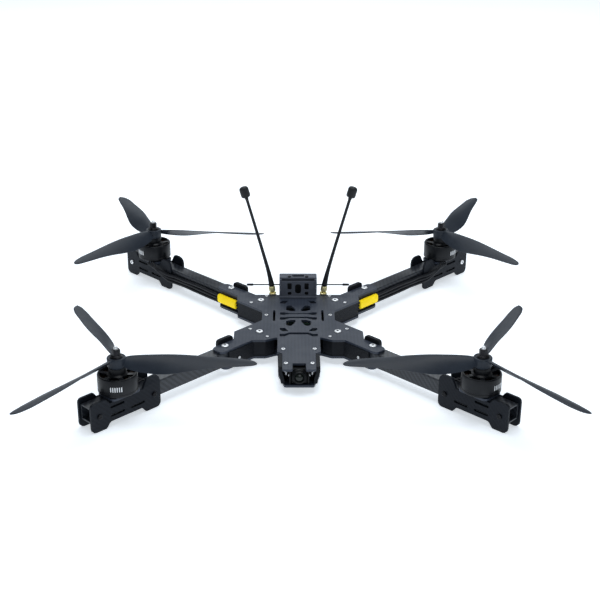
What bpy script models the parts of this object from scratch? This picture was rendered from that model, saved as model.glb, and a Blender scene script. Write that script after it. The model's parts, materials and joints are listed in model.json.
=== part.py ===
"""A large four-rotor FPV racing drone, modelled as separate sub-parts.

Metres, +Z up. The drone's nose faces -Y, its right-hand side is +X, and its feet stand on Z = 0.
Each arm has its own frame: S runs outwards along the arm from the middle of the motor square,
M runs sideways from the arm's centre line towards the drone's waist, and Z is up.
"""

import math

import bmesh
import bpy
from mathutils import Matrix, Vector

MM = 0.001

# --- driving dimensions -------------------------------------------------------------------------

CENTRE = Vector((0.0, -7 * MM, 0.0))   # middle of the motor square, under the box's middle
MOTOR_HALF = 215 * MM                  # half the distance between neighbouring motors
MOTOR_S = MOTOR_HALF * math.sqrt(2)
GAP = 0.3 * MM                         # clearance between neighbouring pieces

PLATE = 3 * MM                         # thickness of every carbon plate
BOTTOM_Z = 8.4 * MM                    # underside of the bottom plate
TUBE = 20 * MM                         # outside width of the square arm tube
TUBE_WALL = 2 * MM
TUBE_Z = BOTTOM_Z + PLATE + GAP
TOP_Z = TUBE_Z + TUBE + GAP            # underside of the top plate
TOP_FACE = TOP_Z + PLATE
TUBE_START = 62 * MM
TUBE_END = MOTOR_S + 48 * MM
CHEEK_S = MOTOR_S + 1.1 * MM            # middle of the motor mount's side plates

BOLT_S = 133.5 * MM                    # outer arm bolt, measured along the arm
BOLT_R = 2.5 * MM
BOLT_HOLE_R = 2.85 * MM
TONGUE_END = 151 * MM
TONGUE_WIDE = 12 * MM
TONGUE_NARROW = 7.2 * MM
BOTTOM_TONGUE = 17 * MM
BOTTOM_TONGUE_END = 145 * MM
WALL_OUT = 13 * MM                     # outside of a socket's thin wall, from the arm's middle

WAIST_X = 48.8 * MM
WAIST_Y = 15.2 * MM
LOBE_X = 84.4 * MM
LOBE_Y = 50.8 * MM
REAR_Y = 70.4 * MM
SHOULDER_Y = 77 * MM
NOSE_X = 27.5 * MM
NOSE_START = 68 * MM
NOSE_STEP = 111 * MM
NOSE_TIP_X = 21 * MM
NOSE_TIP = 161 * MM

MOTOR_BASE_Z = TOP_FACE + GAP
BELL_R = 24 * MM
BELL_LOW = 37.2 * MM
BELL_TOP = 59.2 * MM
BOSS_R = 11.6 * MM
BOSS_TOP = 67 * MM
SHAFT_R = 2.5 * MM
SHAFT_TOP = 92.8 * MM

PROP_R = 166 * MM
PROP_BLADES = 3
HUB_R = 11.4 * MM
HUB_LOW = BOSS_TOP + GAP
HUB_HIGH = 79.2 * MM
BLADE_ROOT_Z = 75.8 * MM
BLADE_TIP_Z = 77.8 * MM
BLADE_ANGLE = {"front_left": 115.7, "front_right": 64.7, "rear_left": 113.8, "rear_right": 64.5}

CAMERA = CENTRE + Vector((0.0, -148 * MM, 21 * MM))
CAMERA_TILT = math.radians(12)
CAMERA_HALF = 9.5 * MM

ANTENNA_X = 35.4 * MM
ANTENNA_Y = 72.6 * MM
SMA_LEAN = math.radians(6.6)
SMA_FOOT = TOP_FACE + 0.9 * MM

ARMS = {
    "front_left": (-1, -1),
    "front_right": (1, -1),
    "rear_left": (-1, 1),
    "rear_right": (1, 1),
}

# --- scene and materials ------------------------------------------------------------------------

for old in list(bpy.data.objects):
    bpy.data.objects.remove(old, do_unlink=True)


def material(name, colour, roughness, metallic=0.0):
    """A Principled material with one colour."""
    made = bpy.data.materials.new(name)
    made.use_nodes = True
    shader = made.node_tree.nodes["Principled BSDF"]
    shader.inputs["Base Color"].default_value = (*colour, 1.0)
    shader.inputs["Roughness"].default_value = roughness
    shader.inputs["Metallic"].default_value = metallic
    return made


CARBON = material("carbon", (0.045, 0.048, 0.055), 0.45)
TUBE_CARBON = material("tube_carbon", (0.035, 0.037, 0.043), 0.35)
NYLON = material("nylon", (0.018, 0.018, 0.02), 0.6)
PROP_PLASTIC = material("propeller_plastic", (0.03, 0.034, 0.042), 0.55)
BLACK_METAL = material("black_metal", (0.02, 0.02, 0.022), 0.35, 0.9)
STEEL = material("steel", (0.62, 0.62, 0.64), 0.3, 1.0)
GOLD = material("gold", (0.83, 0.6, 0.22), 0.25, 1.0)
RUBBER = material("rubber", (0.014, 0.014, 0.015), 0.7)
GLASS = material("lens_glass", (0.01, 0.012, 0.02), 0.05)
BOARD = material("circuit_board", (0.01, 0.03, 0.02), 0.5)

# --- modelling helpers --------------------------------------------------------------------------


def arc(centre, radius, start, end, steps):
    """Points on an arc, both ends included; angles in degrees."""
    points = []
    for i in range(steps + 1):
        angle = math.radians(start + (end - start) * i / steps)
        points.append((centre[0] + radius * math.cos(angle), centre[1] + radius * math.sin(angle)))
    return points


def circle(centre, radius, steps=12):
    """Points round a full circle."""
    return arc(centre, radius, 0, 360, steps)[:-1]


def slot(start, end, radius, steps=4):
    """A straight slot with round ends between two points."""
    heading = math.degrees(math.atan2(end[1] - start[1], end[0] - start[0]))
    first = arc(start, radius, heading + 90, heading + 270, steps)
    return first + arc(end, radius, heading - 90, heading + 90, steps)


def rounded(corners, steps=3):
    """An outline from (x, y, radius) corners, each one rounded with an arc."""
    points = []
    count = len(corners)
    for i, (x, y, radius) in enumerate(corners):
        here = Vector((x, y))
        to_last = (Vector(corners[i - 1][:2]) - here).normalized()
        to_next = (Vector(corners[(i + 1) % count][:2]) - here).normalized()
        half = to_last.angle(to_next) / 2
        if radius <= 0 or half > math.radians(89):
            points.append((x, y))
            continue
        middle = here + (to_last + to_next).normalized() * radius / math.sin(half)
        first = here + to_last * radius / math.tan(half) - middle
        last = here + to_next * radius / math.tan(half) - middle
        turn = first.angle_signed(last)
        for k in range(steps + 1):
            spoke = first.copy()
            spoke.rotate(Matrix.Rotation(-turn * k / steps, 2))
            points.append(tuple(middle + spoke))
    return points


def window(middle, half, radius):
    """A rounded rectangle about its middle."""
    x, y = middle
    corners = [(x - half[0], y - half[1], radius), (x + half[0], y - half[1], radius)]
    corners += [(x + half[0], y + half[1], radius), (x - half[0], y + half[1], radius)]
    return rounded(corners)


def prism(outline, low, high, holes=()):
    """A flat outline with holes, raised from low to high along the third axis."""
    bm = bmesh.new()
    edges = []
    for loop in (outline, *holes):
        ring = [bm.verts.new((x, y, low)) for x, y in loop]
        for i, vert in enumerate(ring):
            edges.append(bm.edges.new((vert, ring[(i + 1) % len(ring)])))
    bmesh.ops.triangle_fill(bm, use_beauty=True, use_dissolve=False, edges=edges)
    raised = bmesh.ops.extrude_face_region(bm, geom=list(bm.faces))
    top = [item for item in raised["geom"] if isinstance(item, bmesh.types.BMVert)]
    bmesh.ops.translate(bm, verts=top, vec=(0.0, 0.0, high - low))
    return bm


def turned(profile, steps=24):
    """A profile of (radius, height) points turned about Z. Ends on the axis close to a point."""
    bm = bmesh.new()
    rings = []
    for radius, height in profile:
        if radius == 0:
            rings.append([bm.verts.new((0.0, 0.0, height))])
            continue
        rings.append([bm.verts.new((x, y, height)) for x, y in circle((0, 0), radius, steps)])
    pairs = list(zip(rings, rings[1:]))
    if profile[0][0] != 0:
        pairs.append((rings[-1], rings[0]))
    for lower, upper in pairs:
        for i in range(steps):
            j = (i + 1) % steps
            if len(lower) == 1:
                bm.faces.new((lower[0], upper[j], upper[i]))
            elif len(upper) == 1:
                bm.faces.new((lower[i], lower[j], upper[0]))
            else:
                bm.faces.new((lower[i], lower[j], upper[j], upper[i]))
    return bm


def loft(rings):
    """Skins a list of equal rings and caps both ends."""
    bm = bmesh.new()
    loops = [[bm.verts.new(point) for point in ring] for ring in rings]
    count = len(loops[0])
    for lower, upper in zip(loops, loops[1:]):
        for i in range(count):
            j = (i + 1) % count
            bm.faces.new((lower[i], lower[j], upper[j], upper[i]))
    bm.faces.new(loops[0])
    bm.faces.new(loops[-1])
    return bm


def place(bm, where):
    """Moves each vertex to where(x, y, z)."""
    for vert in bm.verts:
        vert.co = where(*vert.co)
    return bm


def about_centre(x, y, z):
    """Body coordinates, measured from the middle of the motor square."""
    return CENTRE + Vector((x, y, z))


def arm_frame(arm):
    """A function from an arm's (S, M, Z) to the world."""
    side, end = ARMS[arm]
    along = Vector((side, end, 0.0)).normalized()
    across = Vector((side, -end, 0.0)).normalized()

    def where(s, m, z):
        return CENTRE + along * s + across * m + Vector((0.0, 0.0, z))

    return where


def add(name, bm, look, smooth=False, origin=None):
    """Turns a bmesh into an object whose origin is at the given point."""
    bmesh.ops.recalc_face_normals(bm, faces=bm.faces)
    if bm.calc_volume(signed=True) < 0:
        bmesh.ops.reverse_faces(bm, faces=bm.faces)
    start = origin or Vector((0.0, 0.0, 0.0))
    bmesh.ops.translate(bm, verts=bm.verts, vec=-start)
    mesh = bpy.data.meshes.new(name)
    bm.to_mesh(mesh)
    bm.free()
    made = bpy.data.objects.new(name, mesh)
    made.location = start
    bpy.context.scene.collection.objects.link(made)
    mesh.materials.append(look)
    if smooth:
        mesh.shade_smooth()
        mesh.set_sharp_from_angle(angle=math.radians(35))
    return made


def combine(target, tool, operation):
    """Applies an exact Boolean to the target and removes the tool."""
    step = target.modifiers.new(operation.lower(), "BOOLEAN")
    step.operation = operation
    step.solver = "EXACT"
    step.object = tool
    bpy.context.view_layer.update()
    result = target.evaluated_get(bpy.context.evaluated_depsgraph_get())
    target.data = bpy.data.meshes.new_from_object(result)
    target.data.name = target.name
    target.modifiers.clear()
    bpy.data.objects.remove(tool, do_unlink=True)


def box(x, y, z):
    """A plain block between pairs of limits."""
    return prism([(x[0], y[0]), (x[1], y[0]), (x[1], y[1]), (x[0], y[1])], z[0], z[1])


# --- body plates --------------------------------------------------------------------------------


def on_arm(s, m, end):
    """Plan point (x, y) on a right-hand arm, front (end -1) or rear (end +1)."""
    root = math.sqrt(0.5)
    return (s + m) * root, (s - m) * root * end


def tongue(end, towards_waist, away, reach, corner):
    """The rounded end of a plate's lobe over an arm; widths on the waist side and the other side."""
    near = on_arm(reach, towards_waist, end)
    far = on_arm(reach, -away, end)
    return [(*near, corner), (*far, 6 * MM)]


def body_outline(rear, nose, waist_sides, other_sides, reach=TONGUE_END, corner=6 * MM):
    """The X-shaped plate between two ends. Each pair holds the rear and front tongues' widths."""
    rear_waist, front_waist = waist_sides
    rear_away, front_away = other_sides
    root2 = math.sqrt(2)
    half = rear + [(REAR_Y - rear_away * root2, REAR_Y, 2 * MM)]
    half += tongue(1, rear_waist, rear_away, reach, corner)[::-1]
    half += [(LOBE_X, LOBE_X - rear_waist * root2, 2 * MM), (LOBE_X, LOBE_Y, 2 * MM)]
    half += [(WAIST_X, WAIST_Y, 3 * MM), (WAIST_X, -WAIST_Y, 3 * MM), (LOBE_X, -LOBE_Y, 2 * MM)]
    half += [(LOBE_X, front_waist * root2 - LOBE_X, 2 * MM)]
    half += tongue(-1, front_waist, front_away, reach, corner)
    half += [(SHOULDER_Y - front_away * root2, -SHOULDER_Y, 2 * MM), (43 * MM, -SHOULDER_Y, 3 * MM)]
    half += [(NOSE_X, -NOSE_START, 1.5 * MM)]
    half += nose
    other = [(-x, y, radius) for x, y, radius in reversed(half)]
    return rounded(half + other)


def strap_slot(y, bow, thin):
    """A battery strap slot: two wide ends joined by a narrower middle that is set back by bow."""
    end_x, inner_x, mid_x = 24.8 * MM, 18.4 * MM, 12 * MM
    wide = 3.9 * MM
    top = [(-end_x, y + wide), (-inner_x, y + wide), (-mid_x, y + bow + thin)]
    low = [(-end_x, y - wide), (-inner_x, y - wide), (-mid_x, y + bow - thin)]
    upper = top + [(-x, v) for x, v in reversed(top)]
    lower = low + [(-x, v) for x, v in reversed(low)]
    return upper + lower[::-1]


def bolt_holes(radius):
    """Holes for the four outer arm bolts."""
    holes = []
    for side, end in ARMS.values():
        x, y = on_arm(BOLT_S, 0.0, end)
        holes.append(circle((side * x, y), radius))
    return holes


def top_plate():
    """Top plate with battery strap slots, side slots and eight slanting cut-outs."""
    nose = [(NOSE_X, -NOSE_STEP, 2 * MM), (NOSE_TIP_X, -NOSE_STEP - 5 * MM, 2 * MM)]
    nose += [(NOSE_TIP_X, -NOSE_TIP, 2.5 * MM), (8.3 * MM, -NOSE_TIP, 1.5 * MM)]
    nose += [(8.3 * MM, -144 * MM, 1 * MM)]
    rear = [(30 * MM, REAR_Y, 1 * MM), (31.4 * MM, ANTENNA_Y + 5 * MM, 2 * MM)]
    rear += [(39.4 * MM, ANTENNA_Y + 5 * MM, 2 * MM), (40.8 * MM, REAR_Y, 1 * MM)]
    waist_sides = (TONGUE_WIDE, TONGUE_NARROW)
    outline = body_outline(rear, nose, waist_sides, waist_sides[::-1])
    holes = bolt_holes(BOLT_HOLE_R)
    holes += [strap_slot(6 * MM, 0.0, 1.2 * MM), strap_slot(-9.7 * MM, 3 * MM, 2.2 * MM)]
    holes += [strap_slot(-62 * MM, 5.2 * MM, 2.9 * MM)]
    wedge = [(24.8, 40, 1), (24.8, 44.5, 2), (21.4, 49.6, 1.5), (13.2, 49.6, 0.5), (18, 40, 2)]
    leaf = [(16.4, 18, 2.5), (16.6, 30.5, 4), (12.8, 33.4, 3), (8.8, 32.4, 3), (3.6, 19, 1)]
    leaf += [(4, 14.3, 0.5), (9.5, 14.3, 2)]
    for side in (-1, 1):
        holes.append(slot((side * 32.6 * MM, -16 * MM), (side * 32.6 * MM, 15.5 * MM), 1.6 * MM))
        for end in (-1, 1):
            for corners in (wedge, leaf):
                flipped = [(side * x * MM, end * y * MM, radius * MM) for x, y, radius in corners]
                holes.append(rounded(flipped, 2))
    bm = prism(outline, TOP_Z, TOP_FACE, holes)
    return add("top_plate", place(bm, about_centre), CARBON)


def bottom_plate():
    """Bottom plate, with wider tongues under the motor leads and a window under the camera."""
    nose = [(26.3 * MM, -128 * MM, 4 * MM), (18.5 * MM, -158 * MM, 2 * MM)]
    sides = (BOTTOM_TONGUE, WALL_OUT), (WALL_OUT, WALL_OUT)
    outline = body_outline([], nose, *sides, BOTTOM_TONGUE_END, 9 * MM)
    window = rounded([(11 * MM, -134 * MM, 2 * MM), (-11 * MM, -134 * MM, 2 * MM),
                      (-11 * MM, -153 * MM, 2 * MM), (11 * MM, -153 * MM, 2 * MM)])
    centre_hole = slot((0.0, -20 * MM), (0.0, 20 * MM), 8 * MM)
    holes = bolt_holes(BOLT_HOLE_R) + [window, centre_hole]
    bm = prism(outline, BOTTOM_Z, BOTTOM_Z + PLATE, holes)
    return add("bottom_plate", place(bm, about_centre), CARBON)


# --- arms ---------------------------------------------------------------------------------------


def arm_tube(arm):
    """Square carbon tube from the socket to the motor mount, drilled for the outer bolt."""
    where = arm_frame(arm)
    half, inner = TUBE / 2, TUBE / 2 - TUBE_WALL
    middle = TUBE_Z + half
    outside = rounded([(half, middle - half, 1.5 * MM), (half, middle + half, 1.5 * MM),
                       (-half, middle + half, 1.5 * MM), (-half, middle - half, 1.5 * MM)], 2)
    inside = [(inner, middle - inner), (inner, middle + inner),
              (-inner, middle + inner), (-inner, middle - inner)]
    bm = prism(outside, TUBE_START, TUBE_END, [inside])
    made = add("arm_tube_" + arm, place(bm, lambda m, z, s: where(s, m, z)), TUBE_CARBON)
    drill = prism(circle((BOLT_S, 0.0), BOLT_HOLE_R), TUBE_Z - MM, TUBE_Z + TUBE + MM)
    combine(made, add("drill", place(drill, where), CARBON), "DIFFERENCE")
    return made


def arm_socket(arm):
    """Channel between the plates that holds the tube, with an upright ear on its rear-facing side."""
    where = arm_frame(arm)
    end = ARMS[arm][1]
    low, high = TUBE_Z, TUBE_Z + TUBE
    inner, wall, block = TUBE / 2 + GAP, WALL_OUT, 23 * MM
    tip, shut, back = 138 * MM, 60 * MM, 52 * MM
    edge_y = SHOULDER_Y - 0.6 * MM if end < 0 else REAR_Y - 0.6 * MM

    def plan(x, y):
        """Arm coordinates of a plan point given by its distances from the middle."""
        return (x + y) * math.sqrt(0.5), (x - y) * math.sqrt(0.5)

    turn_x = edge_y - wall * math.sqrt(2)
    outline = [(tip, -wall), plan(turn_x, edge_y)]
    if end < 0:
        outline += [plan(43.3 * MM, edge_y), plan(31.5 * MM, 69.2 * MM), plan(31.5 * MM, 65.5 * MM)]
        outline += [plan(44 * MM, edge_y - 3.5 * MM)]
    else:
        outline += [plan(32 * MM, edge_y), plan(32 * MM, edge_y - 3.5 * MM)]
    outline += [plan(edge_y - 3.5 * MM - wall * math.sqrt(2), edge_y - 3.5 * MM), (back, -wall)]
    waist = (WAIST_X - 0.6 * MM) * math.sqrt(2)
    outline += [(back, waist - back), (waist - block, block), (95.5 * MM, block)]
    if end < 0:
        outline += [(95.5 * MM, wall), (tip, wall), (tip, inner)]
    else:
        outline += [(95.5 * MM, inner)]
    outline += [(shut, inner), (shut, -inner), (tip, -inner)]
    made = add("arm_socket_" + arm, place(prism(outline, low, high), where), NYLON)

    # The ear stands beside the tongue on the side that faces the rear.
    ear_side = 1 if end < 0 else -1
    ear_top = TOP_FACE + 5.5 * MM
    for base, near, far in ((high - 3 * MM, inner + 0.1 * MM, wall - 0.1 * MM),
                            (TOP_Z + 0.1 * MM, 8 * MM, inner + MM)):
        ear = rounded([(112 * MM, base, 0), (tip - 0.1 * MM, base, 0),
                       (tip - 0.1 * MM, ear_top, 4 * MM), (112 * MM, ear_top, 4 * MM)], 2)
        low_m, high_m = sorted((ear_side * near, ear_side * far))
        bm = place(prism(ear, low_m, high_m), lambda s, z, m: where(s, m, z))
        combine(made, add("ear", bm, NYLON), "UNION")

    # Room for the leads: along the tube at the rear, out of the tube's end at the front.
    if end > 0:
        channel = box((40 * MM, 100 * MM), (inner - MM, 15.8 * MM), (low - MM, 27.8 * MM))
    else:
        channel = box((40 * MM, 61 * MM), (2.4 * MM, 8 * MM), (13.5 * MM, 29.8 * MM))
    combine(made, add("channel", place(channel, where), NYLON), "DIFFERENCE")
    return made


def cheek_outline():
    """Side view of a motor mount cheek: S measured from its middle, and Z."""
    corners = [(-53.5, 0, 6), (-31, 0, 3), (-25.5, 7, 5), (22, 7, 5), (28, 0, 3), (49.2, 0, 6.5)]
    corners += [(49.2, 38, 5), (27, 38, 3), (22.5, 31.4, 2), (-27.5, 31.4, 2)]
    corners += [(-34.5, 44, 4), (-53.5, 44, 9)]
    return rounded([(CHEEK_S + s * MM, z * MM, radius * MM) for s, z, radius in corners])


def mount_cheek(arm, label, side):
    """Lobed side plate of a motor mount. Its two lower lobes are the drone's feet."""
    where = arm_frame(arm)
    slots = []
    for first, last, z in ((2, 20, 25.5), (2, 20, 14.5), (-28, -10, 14.5)):
        start = (CHEEK_S + first * MM, z * MM)
        slots.append(slot(start, (CHEEK_S + last * MM, z * MM), 1.5 * MM, 3))
    inner = TUBE / 2 + GAP
    limits = sorted((side * inner, side * (inner + PLATE)))
    bm = prism(cheek_outline(), limits[0], limits[1], slots)
    name = "mount_cheek_" + label + "_" + arm
    return add(name, place(bm, lambda s, z, m: where(s, m, z)), CARBON)


def motor_plate(arm):
    """Flat plate on the tube and cheeks that the motor is screwed to."""
    where = arm_frame(arm)
    outline = rounded([(MOTOR_S - 23 * MM, -16 * MM, 6 * MM), (MOTOR_S + 20 * MM, -16 * MM, 6 * MM),
                       (MOTOR_S + 20 * MM, 16 * MM, 6 * MM), (MOTOR_S - 23 * MM, 16 * MM, 6 * MM)])
    bm = prism(outline, TOP_Z, TOP_FACE, [circle((MOTOR_S, 0.0), 5 * MM)])
    return add("motor_plate_" + arm, place(bm, where), CARBON)


def arm_bolt(arm):
    """M5 button-head bolt through the tongue, tube and bottom plate, with its nut."""
    centre = arm_frame(arm)(BOLT_S, 0.0, 0.0)
    nut_low, nut_high = BOTTOM_Z - 4.4 * MM, BOTTOM_Z - GAP
    head_low, head_r = TOP_FACE + GAP, 4.8 * MM
    profile = [(0, nut_low), (4.2 * MM, nut_low), (4.2 * MM, nut_high), (BOLT_R, nut_high)]
    profile += [(BOLT_R, head_low), (head_r, head_low), (head_r, head_low + 0.8 * MM)]
    profile += [(3.6 * MM, head_low + 2.2 * MM), (1.6 * MM, head_low + 2.7 * MM)]
    profile += [(1.6 * MM, head_low + 1.2 * MM), (0, head_low + 1.2 * MM)]
    bm = turned(profile, 12)
    return add("arm_bolt_" + arm, place(bm, lambda x, y, z: centre + Vector((x, y, z))), STEEL, True)


def motor_leads(arm):
    """Three wires: along the rear arms' waist side, and inside the front arms' tubes."""
    where = arm_frame(arm)
    wire_r, pitch = 2.4 * MM, 4.7 * MM
    if ARMS[arm][1] > 0:
        m, middle, start, end = TUBE / 2 + 0.4 * MM + wire_r, 19.5 * MM, 47 * MM, 243 * MM
    else:
        m, middle, start, end = TUBE / 2 - TUBE_WALL - 0.4 * MM - wire_r, 21.7 * MM, 55 * MM, 291 * MM
    side = []
    for k in (1, 0, -1):
        side += arc((m, middle + k * pitch), wire_r, 70 if k < 1 else 90, -70 if k > -1 else -90, 3)
    mirror = [(2 * m - x, z) for x, z in reversed(side[1:-1])]
    bm = prism(side + mirror, start, end)
    return add("motor_leads_" + arm, place(bm, lambda m, z, s: where(s, m, z)), RUBBER, True)


# --- motors and propellers ----------------------------------------------------------------------


def motor_axis(arm):
    """Point on the floor under a motor's axis."""
    return arm_frame(arm)(MOTOR_S, 0.0, 0.0)


def motor_stator(arm):
    """Motor base, bearing tube and winding stack, with a clear bore for the shaft."""
    centre = motor_axis(arm)
    low = MOTOR_BASE_Z
    profile = [(3.6, 0), (21.5, 0), (22.3, 0.8), (22.3, 1.5), (9, 1.5), (9, 4), (20.6, 4)]
    profile += [(20.6, 18.5), (7, 18.5), (7, 19.3), (3.6, 19.3)]
    bm = turned([(radius * MM, low + z * MM) for radius, z in profile], 24)
    return add("motor_stator_" + arm, place(bm, lambda x, y, z: centre + Vector((x, y, z))),
               BLACK_METAL, True)


def motor_bell(arm):
    """Rotating bell with an open, slightly dished top of spokes, a raised boss and the shaft."""
    centre = motor_axis(arm)
    inner = BELL_R - 2 * MM
    profile = [(0, MOTOR_BASE_Z + 2 * MM), (SHAFT_R, MOTOR_BASE_Z + 2 * MM)]
    profile += [(SHAFT_R, BELL_TOP - 3.8 * MM), (inner, BELL_TOP - 3.2 * MM), (inner, BELL_LOW)]
    profile += [(BELL_R - 0.4 * MM, BELL_LOW), (BELL_R, BELL_LOW + 0.6 * MM)]
    profile += [(BELL_R, BELL_TOP - 1.4 * MM), (BELL_R - 1.2 * MM, BELL_TOP)]
    profile += [(22 * MM, BELL_TOP), (20.8 * MM, BELL_TOP - 0.8 * MM)]
    profile += [(12.6 * MM, BELL_TOP - 1.5 * MM), (10.2 * MM, BELL_TOP + 0.5 * MM)]
    profile += [(BOSS_R - 1.6 * MM, BOSS_TOP - 1.2 * MM), (BOSS_R - 0.8 * MM, BOSS_TOP)]
    profile += [(SHAFT_R, BOSS_TOP)]
    profile += [(SHAFT_R, SHAFT_TOP - 1.2 * MM), (1.4 * MM, SHAFT_TOP), (0, SHAFT_TOP)]
    bm = place(turned(profile, 32), lambda x, y, z: centre + Vector((x, y, z)))
    made = add("motor_bell_" + arm, bm, BLACK_METAL, True, centre)
    windows = bmesh.new()
    count, spread = 6, 21.5
    for k in range(count):
        heading = 360 * k / count + 15
        outline = arc((0, 0), 21.2 * MM, heading - spread, heading + spread, 3)
        outline += arc((0, 0), 12.8 * MM, heading + spread * 0.8, heading - spread * 0.8, 2)
        piece = prism(outline, BELL_TOP - 6 * MM, BELL_TOP + 8 * MM)
        mesh = bpy.data.meshes.new("window")
        piece.to_mesh(mesh)
        piece.free()
        windows.from_mesh(mesh)
        bpy.data.meshes.remove(mesh)
    place(windows, lambda x, y, z: centre + Vector((x, y, z)))
    combine(made, add("windows", windows, BLACK_METAL), "DIFFERENCE")
    return made


def blade_rings(heading, spin):
    """Blade sections from the hub to the tip. spin is +1 for anticlockwise seen from above."""
    # radius, chord ahead of the spoke, chord behind it and pitch angle
    stations = [(7, 3, 7.5, 40), (16, 5.4, 12.5, 40), (30, 6.8, 15.8, 40), (46, 7.8, 18, 38)]
    stations += [(64, 9, 18.8, 31), (82, 9.4, 16.8, 25), (102, 9, 13.6, 19), (122, 8.2, 11, 14.5)]
    stations += [(142, 7.6, 9.4, 11), (150, 6.4, 8.2, 10), (157, 4.8, 7.6, 9), (162, 1.8, 7, 8.5)]
    stations += [(166, -3.6, 6.6, 8)]
    out = Vector((math.cos(heading), math.sin(heading), 0.0))
    ahead = Vector((-out.y, out.x, 0.0)) * spin
    rings = []
    for radius, lead, trail, degrees in stations:
        r = radius * MM
        pitch = math.radians(degrees)
        chord_way = ahead * math.cos(pitch) + Vector((0.0, 0.0, math.sin(pitch)))
        lift_way = Vector((0.0, 0.0, math.cos(pitch))) - ahead * math.sin(pitch)
        height = BLADE_ROOT_Z + (BLADE_TIP_Z - BLADE_ROOT_Z) * (r / PROP_R)
        thick = (3.4 - 2.2 * r / PROP_R) * MM
        chord = (lead + trail) * MM
        ring = []
        for along, lift in ((0, 0), (0.12, 0.5), (0.4, 0.95), (0.75, 0.7), (1, 0.12),
                            (0.98, -0.1), (0.6, 0.1), (0.2, -0.05)):
            shift = lead * MM - along * chord
            camber = lift * thick
            ring.append(out * r + chord_way * shift + lift_way * camber + Vector((0, 0, height)))
        rings.append(ring)
    return rings


def propeller(arm):
    """Three-blade propeller on a tall round hub, mirrored from side to side."""
    side, end = ARMS[arm]
    centre = motor_axis(arm)
    bore = SHAFT_R + GAP
    profile = [(bore, HUB_LOW), (HUB_R - 0.6 * MM, HUB_LOW), (HUB_R, HUB_LOW + 0.6 * MM)]
    profile += [(HUB_R, HUB_HIGH - 1 * MM), (HUB_R - 1 * MM, HUB_HIGH), (bore, HUB_HIGH)]
    bm = place(turned(profile, 20), lambda x, y, z: centre + Vector((x, y, z)))
    made = add("propeller_" + arm, bm, PROP_PLASTIC, True, centre)
    spin = -side * -end
    for k in range(PROP_BLADES):
        heading = math.radians(BLADE_ANGLE[arm]) + 2 * math.pi * k / PROP_BLADES
        bm = place(loft(blade_rings(heading, spin)), lambda x, y, z: centre + Vector((x, y, z)))
        combine(made, add("blade", bm, PROP_PLASTIC), "UNION")
    made.data.shade_smooth()
    made.data.set_sharp_from_angle(angle=math.radians(35))
    return made


def propeller_nut(arm):
    """Flanged lock nut that clamps the propeller."""
    centre = motor_axis(arm)
    low, bore = HUB_HIGH + GAP, SHAFT_R + GAP
    profile = [(bore, 0), (6.6, 0), (6.6, 1), (4.8, 1.8), (4.8, 8.4), (3.8, 9.8), (bore, 9.8)]
    points = [(radius if radius == bore else radius * MM, low + z * MM) for radius, z in profile]
    bm = place(turned(points, 12), lambda x, y, z: centre + Vector((x, y, z)))
    return add("propeller_nut_" + arm, bm, BLACK_METAL, False, centre)


# --- nose and camera ----------------------------------------------------------------------------


def nose_cheek(label, side):
    """Side wall of the nose, drawn in towards the bottom at its front."""
    low, high, step = BOTTOM_Z + PLATE + GAP, TOP_FACE - 0.6 * MM, TOP_Z - GAP
    outline = [(-79 * MM, low), (-122 * MM, low), (-154 * MM, low), (-154 * MM, 20 * MM)]
    outline += [(-154 * MM, 28 * MM), (-154 * MM, high - 2 * MM), (-152 * MM, high)]
    outline += [(-117 * MM, high), (-117 * MM, step), (-79 * MM, step)]
    bm = prism(outline, NOSE_TIP_X + GAP, 26.2 * MM)

    def where(y, z, x):
        """Stands the side view up and draws the lower part in towards the front."""
        lean = 0.0
        if y < -140 * MM and z < 24 * MM:
            lean = 2.4 * MM if z > low else 3.6 * MM
        return about_centre(side * (x - lean), y, z)

    return add("nose_cheek_" + label, place(bm, where), NYLON)


def camera_bracket():
    """U-shaped bracket between the nose cheeks that holds the camera by its sides."""
    inner, outer = CAMERA_HALF + 1 * MM, CAMERA_HALF + 3 * MM
    back, front = -131 * MM, -155 * MM
    outline = [(outer, front), (outer, back), (-outer, back), (-outer, front)]
    outline += [(-inner, front), (-inner, back - 2 * MM), (inner, back - 2 * MM), (inner, front)]
    bm = prism(outline, BOTTOM_Z + PLATE + GAP, TOP_Z - GAP)
    return add("camera_bracket", place(bm, about_centre), NYLON)


def tilted(x, y, z):
    """Camera coordinates (front at -Y) to the world, with the camera's rest tilt."""
    turn = Matrix.Rotation(-CAMERA_TILT, 3, "X")
    return CAMERA + turn @ Vector((x, y, z))


def camera_case():
    """Square camera housing with chamfered edges and two short trunnions."""
    half, depth, chamfer = CAMERA_HALF, 5 * MM, 2.2 * MM
    outline = rounded([(depth, half, chamfer), (-depth, half, chamfer),
                       (-depth, -half, chamfer), (depth, -half, chamfer)], 2)
    made = add("camera_case", place(prism(outline, -half, half), lambda y, z, x: tilted(x, y, z)),
               NYLON, False, CAMERA)
    return made


def camera_lens():
    """Lens barrel with a recessed front glass."""
    start = 5 * MM + GAP
    profile = [(0, 0), (9.2, 0), (9.2, 5.4), (8.6, 6), (7.2, 6), (7.2, 9.2), (6.6, 9.8)]
    profile += [(5.8, 9.8), (5, 8), (3, 8.7), (0, 9)]
    bm = turned([(radius * MM, start + reach * MM) for radius, reach in profile], 24)
    return add("camera_lens", place(bm, lambda x, y, z: tilted(x, -z, y)), GLASS, True, CAMERA)


# --- rear bracket and antennas ------------------------------------------------------------------


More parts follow.
